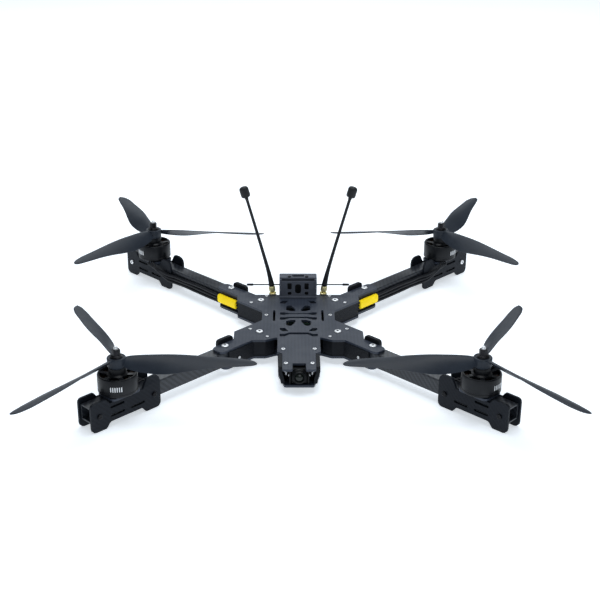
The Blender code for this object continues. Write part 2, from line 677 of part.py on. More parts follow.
def rear_bracket():
    """Upright box behind the straps: slotted front wall, plain sides and back, and a top shelf."""
    half, wall = 26 * MM, 2 * MM
    low, high = TOP_FACE + GAP, 63.6 * MM
    front, back = 60 * MM, 79 * MM
    side, top = half - MM, 59.6 * MM
    panel = [(-side, low + MM), (side, low + MM), (side, top), (-side, top)]
    holes = [window((0.0, 48 * MM), (4.1 * MM, 7.2 * MM), 3.4 * MM)]
    for side in (-1, 1):
        x = side * 11.8 * MM
        holes.append(window((x, 51.8 * MM), (2.9 * MM, 4.8 * MM), 0.8 * MM))
        holes.append(window((x, 41.2 * MM), (2.6 * MM, 2.4 * MM), 1.2 * MM))
    bm = prism(panel, front, front + wall, holes)
    made = add("rear_bracket", place(bm, lambda x, z, y: about_centre(x, y, z)), NYLON)
    shelf = window((0.0, (front + 4 * MM + back) / 2), (half, (back - front - 4 * MM) / 2), 1.5 * MM)
    opening = window((0.0, 70.5 * MM), (8.8 * MM, 3.4 * MM), 3 * MM)
    parts = [prism(shelf, high - 2.6 * MM, high, [opening])]
    parts.append(box((-half, half), (front - 3.5 * MM, back - 2 * MM), (low, low + 2 * MM)))
    parts.append(box((MM - half, half - MM), (back - 4 * MM, back - 2.1 * MM), (low, high - 1.4 * MM)))
    for side in (-1, 1):
        x = sorted((side * half, side * (half - 3 * MM)))
        parts.append(box(x, (front - 0.6 * MM, back - 2 * MM), (low, high - 1.5 * MM)))
    for bm in parts:
        combine(made, add("panel", place(bm, about_centre), NYLON), "UNION")
    return made


def leaning(side, angle, foot):
    """A function from upright coordinates to ones leaning outwards from a foot."""
    turn = Matrix.Rotation(side * angle, 3, "Y")

    def where(x, y, z):
        return foot + turn @ Vector((x, y, z))

    return where


def sma_connector(label, side):
    """Gold coaxial connector with a hexagonal flange and coupling nut."""
    foot = about_centre(side * ANTENNA_X, ANTENNA_Y, SMA_FOOT)
    profile = [(0, 0), (4.6, 0), (4.6, 2.2), (3.2, 2.2), (3.2, 4.2)]
    profile += [(4, 4.2), (4, 10.8), (3.4, 11.7), (0, 11.7)]
    bm = turned([(radius * MM, z * MM) for radius, z in profile], 12)
    return add("sma_connector_" + label, place(bm, leaning(side, SMA_LEAN, foot)), GOLD, True)


def antenna_spine(side):
    """Smooth line of a stub antenna: (point, radius) from its boot to the top of its cap."""
    foot = about_centre(side * ANTENNA_X, ANTENNA_Y, SMA_FOOT)
    start = leaning(side, SMA_LEAN, foot)(0, 0, 12 * MM)
    turns = [(0, 8, 3.9), (4, 9.5, 3.8), (10, 11, 3.3), (20, 13, 2.7), (30, 14, 2.35)]
    turns += [(45, 14.8, 2.1), (75, 15.2, 1.95), (110, 15.5, 1.85), (130, 15.5, 1.85)]
    turns += [(132, 15.5, 2.4), (135, 15.5, 2.8), (135.3, 15.5, 5.6), (137, 15.5, 6.4)]
    turns += [(146, 15.5, 6.4), (148.5, 15.5, 5.4), (149.6, 15.5, 3)]
    spine = []
    point, last = start.copy(), 0
    for length, lean, radius in turns:
        way = Vector((side * math.sin(math.radians(lean)), 0.0, math.cos(math.radians(lean))))
        point = point + way * (length - last) * MM
        last = length
        spine.append((point.copy(), way, radius * MM))
    return spine


def antenna(label, side):
    """Stub antenna: tapered boot, thin stem and a round cap."""
    rings = []
    for point, way, radius in antenna_spine(side):
        across = Vector((way.z, 0.0, -way.x))
        back = Vector((0.0, 1.0, 0.0))
        rings.append([point + across * x + back * y for x, y in circle((0, 0), radius, 12)])
    return add("antenna_" + label, loft(rings), RUBBER, True)


def t_antenna():
    """Thin T antenna on the back of the rear bracket: centre block, rods and thick tips."""
    middle = about_centre(0.0, 84 * MM, 44.6 * MM)
    profile = [(-72, 1.5), (-63, 1.7), (-62.6, 0.9), (-7, 0.9), (-6.8, 3.2), (6.8, 3.2), (7, 0.9)]
    profile += [(62.6, 0.9), (63, 1.7), (72, 1.5)]
    rings = []
    for x, radius in profile:
        rings.append([middle + Vector((x * MM, a, b)) for a, b in circle((0, 0), radius * MM, 8)])
    return add("t_antenna", loft(rings), RUBBER, True)


# --- electronics --------------------------------------------------------------------------------


def board(name, middle, size, z, parts):
    """Circuit board with blocks on it: each block is (x, y, half x, half y, height)."""
    x, y = middle
    half_x, half_y = size
    outline = rounded([(x - half_x, y - half_y, 2 * MM), (x + half_x, y - half_y, 2 * MM),
                       (x + half_x, y + half_y, 2 * MM), (x - half_x, y + half_y, 2 * MM)])
    thick = 1.6 * MM
    made = add(name, place(prism(outline, z, z + thick), about_centre), BOARD)
    for at_x, at_y, half_a, half_b, height in parts:
        block = box((x + at_x - half_a, x + at_x + half_a), (y + at_y - half_b, y + at_y + half_b),
                    (z + thick / 2, z + thick + height))
        combine(made, add("block", place(block, about_centre), BOARD), "UNION")
    return made


def electronics():
    """Speed controller, flight controller and video transmitter, stacked between the plates."""
    esc = [(0, 0, 16 * MM, 20 * MM, 2.5 * MM), (0, -25.5 * MM, 8 * MM, 2.5 * MM, 3 * MM)]
    board("esc_board", (0, -2 * MM), (22 * MM, 28 * MM), 13.5 * MM, esc)
    chips = [(0, 0, 6 * MM, 6 * MM, 1.6 * MM), (-11 * MM, 9 * MM, 4 * MM, 3 * MM, 3 * MM),
             (11 * MM, -9 * MM, 4 * MM, 4 * MM, 2.2 * MM), (0, -14 * MM, 6 * MM, 2.5 * MM, 3 * MM)]
    board("flight_controller", (0, 0), (19 * MM, 19 * MM), 22.5 * MM, chips)
    fins = [(0, 0, 22 * MM, 13 * MM, 13 * MM)]
    board("video_transmitter", (0, 50 * MM), (24 * MM, 15 * MM), 14 * MM, fins)


# --- assembly -----------------------------------------------------------------------------------

top_plate()
bottom_plate()
for name in ARMS:
    arm_tube(name)
    arm_socket(name)
    mount_cheek(name, "waist", 1)
    mount_cheek(name, "outer", -1)
    motor_plate(name)
    arm_bolt(name)
    motor_leads(name)
    motor_stator(name)
    motor_bell(name)
    propeller(name)
    propeller_nut(name)
for label, side in (("left", -1), ("right", 1)):
    nose_cheek(label, side)
    sma_connector(label, side)
    antenna(label, side)
camera_bracket()
camera_case()
camera_lens()
rear_bracket()
t_antenna()
electronics()
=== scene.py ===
"""Looks for the racing drone: camera, studio, materials, and detail pieces riding on the CAD frame."""

import json
import math

import bmesh
import bpy
from mathutils import Matrix, Vector


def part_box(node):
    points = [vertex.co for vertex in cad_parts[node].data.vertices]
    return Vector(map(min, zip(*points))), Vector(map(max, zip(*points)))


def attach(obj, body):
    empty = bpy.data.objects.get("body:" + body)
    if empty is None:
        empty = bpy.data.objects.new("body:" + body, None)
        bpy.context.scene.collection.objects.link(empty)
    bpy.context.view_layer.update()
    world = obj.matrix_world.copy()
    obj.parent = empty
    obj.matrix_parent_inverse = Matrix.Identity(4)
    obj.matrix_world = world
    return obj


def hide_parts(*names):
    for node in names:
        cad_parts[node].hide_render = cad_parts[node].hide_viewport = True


MM = 0.001
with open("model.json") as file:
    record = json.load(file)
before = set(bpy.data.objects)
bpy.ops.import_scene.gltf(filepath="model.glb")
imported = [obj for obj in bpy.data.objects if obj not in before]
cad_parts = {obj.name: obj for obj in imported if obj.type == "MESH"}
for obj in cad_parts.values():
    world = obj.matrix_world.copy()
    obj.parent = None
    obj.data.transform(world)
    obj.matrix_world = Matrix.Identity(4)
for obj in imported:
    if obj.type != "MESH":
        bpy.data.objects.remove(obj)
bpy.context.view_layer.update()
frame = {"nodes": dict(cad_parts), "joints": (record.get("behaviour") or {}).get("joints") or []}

# --- where things are, from the frame -----------------------------------------------------------

PLATE_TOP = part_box("top_plate")[1].z / MM
PLATE_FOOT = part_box("bottom_plate")[0].z / MM
TUBE_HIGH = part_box("arm_tube_front_left")[1].z
ARMS = {
    "front_left": (-1, -1),
    "front_right": (1, -1),
    "rear_left": (-1, 1),
    "rear_right": (1, 1),
}
AXES = {}
for joint in frame["joints"]:
    if joint["name"].startswith("spin_"):
        AXES[joint["name"][5:]] = Vector(joint["pos_m"])
    else:
        CAMERA_AXIS = Vector(joint["pos_m"])
CENTRE = sum(AXES.values(), Vector()) / 4
CENTRE.z = 0
MOTOR_S = (AXES["front_left"] - CENTRE).xy.length


def arm_point(arm, s, m, z):
    """World point from distances along the arm, sideways towards the waist, and up, in metres."""
    side, end = ARMS[arm]
    along = Vector((side, end, 0)).normalized()
    across = Vector((side, -end, 0)).normalized()
    return Vector((CENTRE.x, CENTRE.y, z)) + along * s + across * m


# How far each rotor had turned, in degrees about its own axis.
BLADE_ANGLE = {"front_left": 115.7, "front_right": 64.7, "rear_left": 113.8, "rear_right": 64.5}
BELL_TURN = {"front_left": 8, "front_right": -20, "rear_left": 25, "rear_right": 3}
MARK_TURN = {"front_left": -87, "front_right": -42, "rear_left": -144, "rear_right": -38}
NUT_TURN = {"front_left": 10, "front_right": 35, "rear_left": 22, "rear_right": 50}

# --- camera, lights and floor -------------------------------------------------------------------

VIEW_PLACE = (-0.0135, -1.4999, 0.7115)
VIEW_PITCH, VIEW_TURN, VIEW_ROLL = 66.35, -0.6, 0.25
VIEW_LENS, VIEW_SENSOR = 72.9, 36

scene = bpy.context.scene
camera = bpy.data.objects.new("camera_view", bpy.data.cameras.new("camera_view"))
scene.collection.objects.link(camera)
camera.data.lens = VIEW_LENS
camera.data.sensor_width = VIEW_SENSOR
camera.location = VIEW_PLACE
camera.rotation_euler = (math.radians(VIEW_PITCH), 0, math.radians(VIEW_TURN))
camera.rotation_euler = (camera.rotation_euler.to_matrix()
                         @ Matrix.Rotation(math.radians(VIEW_ROLL), 3, "Z")).to_euler()
scene.camera = camera


def area_light(name, place, aim, size, power, colour):
    """A square soft box at a place, turned to face a point."""
    data = bpy.data.lights.new(name, "AREA")
    data.shape = "RECTANGLE"
    data.size, data.size_y = size
    data.energy = power
    data.color = colour
    lamp = bpy.data.objects.new(name, data)
    scene.collection.objects.link(lamp)
    lamp.location = place
    lamp.rotation_euler = (Vector(aim) - Vector(place)).to_track_quat("-Z", "Y").to_euler()


area_light("key", (0.1, 0.1, 2.4), (0, 0, 0), (1.7, 1.7), 33, (0.95, 0.98, 1))
area_light("back", (-0.2, 2.3, 1.5), (0, 0, 0), (2.6, 1.2), 18, (0.88, 0.94, 1))
area_light("left", (-2.0, -0.5, 0.9), (0, 0, 0), (1.0, 1.0), 3, (0.86, 0.93, 1))
area_light("right", (2.0, -0.5, 0.9), (0, 0, 0), (1.0, 1.0), 4, (0.86, 0.93, 1))
area_light("front", (0.2, -2.4, 0.8), (0, 0, 0.03), (0.8, 0.8), 5, (0.9, 0.95, 1))

SKY_COLOUR, SKY_STRENGTH = (0.9, 0.95, 1, 1), 0.25

world = bpy.data.worlds.new("studio")
world.use_nodes = True
sky = world.node_tree.nodes["Background"]
sky.inputs["Color"].default_value = SKY_COLOUR
sky.inputs["Strength"].default_value = SKY_STRENGTH
scene.world = world
scene.view_settings.view_transform = "Standard"
scene.view_settings.look = "None"

# --- material helpers ---------------------------------------------------------------------------


class Look:
    """A Principled material with short calls for its nodes. Sockets and numbers both go in as values."""

    def __init__(self, name, **sockets):
        self.material = bpy.data.materials.new(name)
        self.material.use_nodes = True
        self.tree = self.material.node_tree
        self.shader = self.tree.nodes["Principled BSDF"]
        for key, value in sockets.items():
            self.put(self.shader.inputs[key.replace("_", " ")], value)
        spot = self.tree.nodes.new("ShaderNodeTexCoord")
        self.place = spot.outputs["Object"]

    def put(self, socket, value):
        """Links an output, or sets a plain value; a colour may have three numbers."""
        if isinstance(value, bpy.types.NodeSocket):
            self.tree.links.new(value, socket)
        elif isinstance(value, tuple) and len(value) == 3 and socket.type == "RGBA":
            socket.default_value = (*value, 1)
        else:
            socket.default_value = value

    def node(self, kind, settings=(), **inputs):
        """A new node with its settings and inputs given."""
        made = self.tree.nodes.new(kind)
        for key, value in dict(settings).items():
            setattr(made, key, value)
        for key, value in inputs.items():
            self.put(made.inputs[key.replace("_", " ")], value)
        return made

    def sum(self, kind, *values):
        """One maths node."""
        made = self.tree.nodes.new("ShaderNodeMath")
        made.operation = kind
        for socket, value in zip(made.inputs, values):
            self.put(socket, value)
        return made.outputs[0]

    def noise(self, scale, detail=3, roughness=0.55, where=None):
        """Noise over the piece, from 0 to 1; scale in features per metre."""
        made = self.node("ShaderNodeTexNoise", Vector=where or self.place, Scale=scale, Detail=detail,
                         Roughness=roughness)
        return made.outputs["Fac"]

    def split(self, where=None):
        """The three coordinates of a vector."""
        made = self.node("ShaderNodeSeparateXYZ", Vector=where or self.place)
        return made.outputs[0], made.outputs[1], made.outputs[2]

    def turned(self, degrees):
        """Object coordinates turned about Z."""
        made = self.node("ShaderNodeVectorRotate", {"rotation_type": "Z_AXIS"}, Vector=self.place,
                         Angle=math.radians(degrees))
        return made.outputs[0]

    def span(self, value, low, high, start=0.0, end=1.0):
        """Maps a value from start..end to low..high."""
        made = self.node("ShaderNodeMapRange", Value=value)
        for key, number in (("From Min", start), ("From Max", end), ("To Min", low), ("To Max", high)):
            self.put(made.inputs[key], number)
        return made.outputs["Result"]

    def blend(self, fac, first, second):
        """A colour between two colours."""
        made = self.tree.nodes.new("ShaderNodeMix")
        made.data_type = "RGBA"
        self.put(made.inputs["Factor"], fac)
        self.put(made.inputs[6], first)
        self.put(made.inputs[7], second)
        return made.outputs[2]

    def bump(self, height, distance, strength=1.0, after=None):
        """Relief of a real depth in metres; after is an earlier bump."""
        made = self.node("ShaderNodeBump", Height=height, Distance=distance, Strength=strength)
        if after is not None:
            self.put(made.inputs["Normal"], after)
        return made.outputs["Normal"]

    def finish(self, **sockets):
        """Sets the shader's sockets from names with _ for spaces, and returns the material."""
        for key, value in sockets.items():
            self.put(self.shader.inputs[key.replace("_", " ")], value)
        return self.material


def twill(look, u, v, tow):
    """Two-by-two twill: (height of the tows, 1 where the lengthwise tow is on top)."""
    a = look.sum("DIVIDE", u, tow)
    b = look.sum("DIVIDE", v, tow)
    cell = look.sum("ADD", look.sum("FLOOR", a), look.sum("FLOOR", b))
    over = look.sum("LESS_THAN", look.sum("FLOORED_MODULO", cell, 4.0), 1.5)
    across = look.sum("ADD", look.sum("MULTIPLY", over, look.sum("FRACT", b)),
                      look.sum("MULTIPLY", look.sum("SUBTRACT", 1.0, over), look.sum("FRACT", a)))
    height = look.sum("SINE", look.sum("MULTIPLY", across, math.pi))
    return height, over


def carbon(name, tow, dark, light, roughness, coat=0.0, shine=0.4):
    """Carbon cloth on every face of a piece, laid along the arms; tow is one tow's width in metres."""
    look = Look(name, Metallic=0.0)
    x, y, z = look.split(look.turned(45))
    normal = look.node("ShaderNodeNewGeometry").outputs["Normal"]
    flat = look.sum("GREATER_THAN", look.sum("ABSOLUTE", look.split(normal)[2]), 0.7)
    stand = look.sum("SUBTRACT", 1.0, flat)
    u = look.sum("ADD", x, look.sum("MULTIPLY", stand, y))
    v = look.sum("ADD", look.sum("MULTIPLY", flat, y), look.sum("MULTIPLY", stand, z))
    height, over = twill(look, u, v, tow)
    fibres = look.noise(2600, 2, 0.6)
    cloudy = look.noise(38, 3, 0.6)
    tone = look.sum("ADD", look.sum("MULTIPLY", over, 0.6), look.sum("MULTIPLY", fibres, 0.4))
    tone = look.sum("MULTIPLY", tone, look.span(cloudy, 0.75, 1.15, 0.3, 0.7))
    colour = look.blend(tone, dark, light)
    rough = look.sum("ADD", look.span(height, roughness + 0.06, roughness - 0.03),
                     look.span(cloudy, -0.05, 0.05, 0.3, 0.7))
    relief = look.bump(height, tow * 0.02, 0.6)
    relief = look.bump(fibres, 0.00003, 0.5, relief)
    return look.finish(Base_Color=colour, Roughness=rough, Normal=relief, Coat_Weight=coat,
                       Coat_Roughness=0.25, Specular_IOR_Level=shine)


def plastic(name, dark, light, roughness, grain=900, depth=0.00004, layers=0.0, shine=0.5,
            painted_glow=0.0):
    """Moulded or printed plastic: fine grain, cloudy gloss, print layers of a height in metres, and a glow
    that is painted light, not a lamp.
    """
    look = Look(name)
    cloudy = look.noise(45, 4, 0.6)
    fine = look.noise(grain, 3, 0.65)
    colour = look.blend(look.span(cloudy, 0, 1, 0.3, 0.7), dark, light)
    relief = look.bump(fine, depth, 0.7)
    if layers:
        z = look.split()[2]
        line = look.sum("SINE", look.sum("MULTIPLY", z, 2 * math.pi / layers))
        relief = look.bump(line, layers * 0.12, 0.6, relief)
    rough = look.sum("ADD", look.span(cloudy, roughness - 0.05, roughness + 0.05, 0.3, 0.7),
                     look.span(fine, -0.04, 0.04, 0.3, 0.7))
    return look.finish(Base_Color=colour, Roughness=rough, Normal=relief, Specular_IOR_Level=shine,
                       Emission_Color=colour, Emission_Strength=painted_glow)


def metal(name, colour, roughness, scratches=500, metallic=1.0, anodised=0.0, shine=0.5):
    """Machined metal with a turned or brushed grain."""
    look = Look(name, Metallic=metallic)
    stretched = look.node("ShaderNodeMapping", Vector=look.place, Scale=(1.0, 1.0, 14.0)).outputs[0]
    grain = look.noise(scratches, 3, 0.7, stretched)
    cloudy = look.noise(60, 3, 0.5)
    worn = tuple(min(1.0, c * 1.25 + 0.01) for c in colour)
    tone = look.blend(look.span(cloudy, 0, 1, 0.35, 0.7), colour, worn)
    rough = look.sum("ADD", look.span(grain, roughness - 0.07, roughness + 0.09, 0.3, 0.7),
                     look.span(cloudy, -0.03, 0.05, 0.3, 0.7))
    relief = look.bump(grain, 0.00002, 0.5)
    return look.finish(Base_Color=tone, Roughness=rough, Normal=relief, Coat_Weight=anodised,
                       Coat_Roughness=0.2, Specular_IOR_Level=shine)


# --- materials ----------------------------------------------------------------------------------

# Dark carbon's own colour, with a blue tint that is painted sheen: the bluish reflection put into the base
# colour.
PLATE = carbon("carbon_plate", 1.6 * MM, (0.019, 0.026, 0.043), (0.028, 0.037, 0.058), 0.5)
CHEEK = carbon("carbon_cheek", 1.6 * MM, (0.006, 0.008, 0.012), (0.010, 0.013, 0.019), 0.5, shine=0.13)
TUBE = carbon("carbon_tube", 2.0 * MM, (0.007, 0.009, 0.012), (0.030, 0.035, 0.045), 0.36, 0.1, 0.3)
NYLON = plastic("printed_nylon", (0.005, 0.006, 0.009), (0.009, 0.011, 0.015), 0.55,
                layers=0.5 * MM, shine=0.15)
BRACKET = plastic("grey_nylon", (0.072, 0.081, 0.104), (0.092, 0.103, 0.130), 0.55,
                  layers=0.5 * MM, shine=0.25)
CASE = plastic("moulded_black", (0.002, 0.003, 0.004), (0.005, 0.006, 0.007), 0.42, 1400, shine=0.15)
BLADE = plastic("blade_plastic", (0.012, 0.017, 0.026), (0.018, 0.025, 0.037), 0.44, 1600, 0.00003,
                shine=0.26)
RUBBER = plastic("antenna_rubber", (0.005, 0.006, 0.008), (0.010, 0.012, 0.015), 0.5, 1800, shine=0.3)
WIRE = plastic("silicone_wire", (0.003, 0.004, 0.006), (0.007, 0.008, 0.011), 0.4, 1500, shine=0.22)
# The wrap's small emission is painted light that makes the yellow read brighter.
YELLOW = plastic("yellow_wrap", (0.98, 0.68, 0.006), (1.0, 0.76, 0.012), 0.5, 2200, 0.00005,
                 shine=0.15, painted_glow=0.13)
PAINT = plastic("white_paint", (0.72, 0.74, 0.76), (0.86, 0.88, 0.90), 0.5, 3000, 0.00001)
BELL = metal("black_anodised", (0.002, 0.003, 0.005), 0.36, metallic=0.1, anodised=0.04, shine=0.22)
DARK_STEEL = metal("black_oxide_steel", (0.014, 0.014, 0.016), 0.35)
STEEL = metal("bright_steel", (0.72, 0.73, 0.74), 0.38)
ALLOY = metal("bare_alloy", (0.60, 0.61, 0.64), 0.3)
GOLD = metal("gold_plating", (0.95, 0.77, 0.40), 0.3)
COPPER = metal("enamelled_copper", (0.05, 0.03, 0.02), 0.4, 2500, 0.8)


def lens_coating():
    """Dark coated glass with a faint green cast."""
    look = Look("coated_glass", Metallic=0.0, Coat_Weight=0.12, Coat_Roughness=0.05)
    cloud = look.noise(300, 2, 0.5)
    tint = look.blend(look.span(cloud, 0, 1, 0.35, 0.65), (0.001, 0.002, 0.002), (0.002, 0.007, 0.004))
    rough = look.span(look.noise(1200, 2), 0.03, 0.08, 0.3, 0.7)
    return look.finish(Base_Color=tint, Roughness=rough, Specular_IOR_Level=0.3)


def solder_mask():
    """A dark green board with copper tracks raised under the mask."""
    look = Look("solder_mask")
    x, y = look.split()[:2]
    ways = []
    for axis, scale in ((x, 900.0), (y, 760.0)):
        drift = look.sum("MULTIPLY", look.noise(90, 0), 3.0)
        wave = look.sum("ADD", look.sum("MULTIPLY", axis, scale), drift)
        ways.append(look.sum("GREATER_THAN", look.sum("FRACT", wave), 0.62))
    patch = look.sum("GREATER_THAN", look.noise(120, 1), 0.5)
    track = look.sum("ADD", look.sum("MULTIPLY", patch, ways[0]),
                     look.sum("MULTIPLY", look.sum("SUBTRACT", 1.0, patch), ways[1]))
    colour = look.blend(track, (0.006, 0.016, 0.011), (0.012, 0.036, 0.022))
    rough = look.span(look.noise(400), 0.28, 0.42, 0.3, 0.7)
    relief = look.bump(track, 0.00003, 0.6)
    return look.finish(Base_Color=colour, Roughness=rough, Normal=relief)


GLASS = lens_coating()
BOARD = solder_mask()

# --- shape helpers ------------------------------------------------------------------------------


def spot(x, y, z):
    """World point from millimetres about the middle of the motor square."""
    return Vector((CENTRE.x + x * MM, CENTRE.y + y * MM, z * MM))


def aimed(place, axis=(0, 0, 1), turn=0.0):
    """Matrix at a place whose Z runs along an axis; turn in degrees about that axis."""
    lean = Vector(axis).to_track_quat("Z", "Y").to_matrix().to_4x4()
    return Matrix.Translation(place) @ lean @ Matrix.Rotation(math.radians(turn), 4, "Z")


def circle(radius, steps=24, z=0.0, six=False):
    """A ring of points, round or six-sided, in millimetres."""
    points = []
    for i in range(steps):
        angle = 2 * math.pi * i / steps
        reach = radius
        if six:
            reach = radius * math.cos(math.pi / 6) / math.cos(angle % (math.pi / 3) - math.pi / 6)
        points.append((reach * math.cos(angle), reach * math.sin(angle), z))
    return points


def smooth(points, parts=6):
    """A smooth line through points, as a list of vectors."""
    ends = [Vector(p) for p in points]
    ends = [ends[0] * 2 - ends[1]] + ends + [ends[-1] * 2 - ends[-2]]
    line = []
    for a, b, c, d in zip(ends, ends[1:], ends[2:], ends[3:]):
        for k in range(parts):
            t = k / parts
            line.append(0.5 * (2 * b + (c - a) * t + (2 * a - 5 * b + 4 * c - d) * t ** 2
                               + (3 * b - a - 3 * c + d) * t ** 3))
    return line + [ends[-2]]


SOCKETS = []  # each screw's (matrix, key, height), for the near-black plugs of painted shade in their sockets


class Shape:
    """Collects solids in one mesh. Sizes are millimetres, placed by a matrix."""

    def __init__(self):
        self.bm = bmesh.new()

    def rings(self, rings, matrix=Matrix(), hollow=False):
        """Skins rings of equal size, capped at both ends or closed into a hollow ring."""
        loops = [[self.bm.verts.new(matrix @ (Vector(p) * MM)) for p in ring] for ring in rings]
        pairs = list(zip(loops, loops[1:])) + ([(loops[-1], loops[0])] if hollow else [])
        for lower, upper in pairs:
            for i in range(len(lower)):
                j = (i + 1) % len(lower)
                self.bm.faces.new((lower[i], lower[j], upper[j], upper[i]))
        if not hollow:
            self.bm.faces.new(loops[0][::-1])
            self.bm.faces.new(loops[-1])

    def turned(self, profile, steps=24, matrix=Matrix(), hollow=False):
        """A (radius, height) profile turned about Z; a minus radius makes that ring six-sided."""
        self.rings([circle(abs(r), steps, z, r < 0) for r, z in profile], matrix, hollow)

    def prism(self, outline, low, high, matrix=Matrix(), holes=()):
        """A flat outline with holes, raised along Z."""
        edges = []
        for loop in (outline, *holes):
            ring = [self.bm.verts.new((x * MM, y * MM, low * MM)) for x, y in loop]
            edges += [self.bm.edges.new((v, ring[(i + 1) % len(ring)])) for i, v in enumerate(ring)]
        flat = bmesh.ops.triangle_fill(self.bm, use_beauty=True, use_dissolve=False, edges=edges)
        faces = [g for g in flat["geom"] if isinstance(g, bmesh.types.BMFace)]
        raised = bmesh.ops.extrude_face_region(self.bm, geom=faces)
        top = [g for g in raised["geom"] if isinstance(g, bmesh.types.BMVert)]
        bmesh.ops.translate(self.bm, verts=top, vec=(0, 0, (high - low) * MM))
        every = {v for edge in edges for v in edge.verts} | set(top)
        for vert in every:
            vert.co = matrix @ vert.co

    def block(self, low, high, matrix=Matrix(), edge=0.3):
        """A block between two corners with its edges rounded."""
        made = bmesh.ops.create_cube(self.bm, size=1)["verts"]
        for vert in made:
            part = [(low[i] + high[i]) / 2 + vert.co[i] * (high[i] - low[i]) for i in range(3)]
            vert.co = matrix @ (Vector(part) * MM)
        edges = list({e for vert in made for e in vert.link_edges})
        bmesh.ops.bevel(self.bm, geom=edges, offset=edge * MM, segments=2, affect="EDGES", profile=0.5)

    def tube(self, line, radius, steps=12):
        """A round wire of a radius in millimetres along a line of world points, with rounded ends."""
        way = (line[1] - line[0]).normalized()
        side = way.orthogonal().normalized()
        rings = []
        for i, point in enumerate(line):
            ahead = (line[min(i + 1, len(line) - 1)] - line[max(i - 1, 0)]).normalized()
            side = (side - ahead * side.dot(ahead)).normalized()
            up = ahead.cross(side)
            for inset, shrink in ((-0.5, 0.55), (-0.2, 0.87), (0, 1)) if i == 0 else ((0, 1),):
                rings.append((point + ahead * inset * radius * MM, side, up, shrink))
            if i == len(line) - 1:
                rings.append((point + ahead * 0.2 * radius * MM, side, up, 0.87))
                rings.append((point + ahead * 0.5 * radius * MM, side, up, 0.55))
        loops = []
        for middle, side, up, shrink in rings:
            loops.append([(middle + (side * x + up * y) * shrink * MM) / MM
                          for x, y, _ in circle(radius, steps)])
        self.rings(loops)

    def screw(self, place, axis=(0, 0, 1), radius=2.9, height=1.7, key=1.4, turn=0.0):
        """A button screw head with a hexagonal socket; a near-black plug of painted shade for its socket is
        made later.
        """
        profile = [(radius * 0.96, 0), (radius, height * 0.16), (radius * 0.99, height * 0.5)]
        profile += [(radius * 0.94, height * 0.78), (radius * 0.84, height * 0.95)]
        profile += [(radius * 0.72, height), (-key, height), (-key, height * 0.2)]
        self.turned(profile, 24, aimed(place, axis, turn))
        SOCKETS.append((aimed(place, axis, turn), key, height))

    def nut(self, matrix, corner, height, bore, low=0.0):
        """A six-sided nut with chamfered ends and a bore."""
        profile = [(corner * 0.86, low), (-corner, low + height * 0.12), (-corner, low + height * 0.88)]
        profile += [(corner * 0.86, low + height), (bore, low + height), (bore, low)]
        self.turned(profile, 24, matrix, True)

    def add(self, name, look, body="airframe", instead=(), sharp=34):
        """Turns the collected solids into an object that rides on a CAD body."""
        bmesh.ops.recalc_face_normals(self.bm, faces=self.bm.faces)
        mesh = bpy.data.meshes.new(name)
        self.bm.to_mesh(mesh)
        self.bm.free()
        return show(name, mesh, look, body, instead, sharp)


def show(name, mesh, look, body, instead=(), sharp=34):
    """An object for a mesh, riding on a body and standing for CAD nodes."""
    made = bpy.data.objects.new(name, mesh)
    scene.collection.objects.link(made)
    mesh.materials.clear()
    mesh.materials.append(look)
    mesh.shade_smooth()
    mesh.set_sharp_from_angle(angle=math.radians(sharp))
    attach(made, body)
    if instead:
        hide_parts(*instead)
    return made


def joined(base, tools, operation):
    """The mesh of one Shape after exact Booleans with others."""
    parts = []
    for shape in (base, *tools):
        bmesh.ops.recalc_face_normals(shape.bm, faces=shape.bm.faces)
        mesh = bpy.data.meshes.new("part")
        shape.bm.to_mesh(mesh)
        shape.bm.free()
        part = bpy.data.objects.new("part", mesh)
        scene.collection.objects.link(part)
        parts.append(part)
    for tool in parts[1:]:
        step = parts[0].modifiers.new("join", "BOOLEAN")
        step.operation = operation
        step.solver = "EXACT"
        step.object = tool
    bpy.context.view_layer.update()
    result = parts[0].evaluated_get(bpy.context.evaluated_depsgraph_get())
    mesh = bpy.data.meshes.new_from_object(result)
    for part in parts:
        bpy.data.objects.remove(part, do_unlink=True)
    return mesh


# --- screws, standoffs and nuts -----------------------------------------------------------------

# Plate screws, mirrored: x and y about the middle of the motor square, and the head's radius.
PLATE_SCREWS = ((64.7, 43, 2.3), (43.9, 65.6, 2.3), (43, 1.2, 2.5), (63.7, -43.4, 2.3),
                (40.8, -66.5, 2.1), (20, -103.5, 2.8), (16.5, -144, 2.8))
INNER_BOLT, OUTER_BOLT = 72.5 * MM, 133.5 * MM  # along the arm
UP, DOWN = (0, 0, 1), (0, 0, -1)
NOSE_POST = (16.4, -144)

screws = Shape()
for x, y, head in PLATE_SCREWS:
    for side in (-1, 1):
        screws.screw(spot(side * x, y, PLATE_TOP), UP, head, 0.9, head * 0.45, x * 7 + side * 11)
        if y > NOSE_POST[1]:
            screws.screw(spot(side * x, y, PLATE_FOOT), DOWN, turn=y * 5)
for side in (-1, 1):
    screws.screw(spot(side * 12.5, -148, 21), (side, 0, 0), 2.4, 1.5)
    screws.screw(arm_point("front_left" if side < 0 else "front_right", 121 * MM, -13 * MM, 19 * MM),
                 Vector((-side, -1, 0)), 1.9, 1.1, 0.8)
for arm in ARMS:
    screws.screw(arm_point(arm, INNER_BOLT, 0, PLATE_TOP * MM), UP, 4.7, 1.3, 2, 12)
    screws.screw(arm_point(arm, INNER_BOLT, 0, PLATE_FOOT * MM), DOWN, 4.8, 2.7, 1.6)
screws.add("plate_screws", STEEL)

top_screws = Shape()
for side in (-1, 1):
    top_screws.screw(spot(side * 12, 66.5, 63.6), radius=2.4, height=1.4, turn=side * 20)
top_screws.add("bracket_screws", DARK_STEEL)

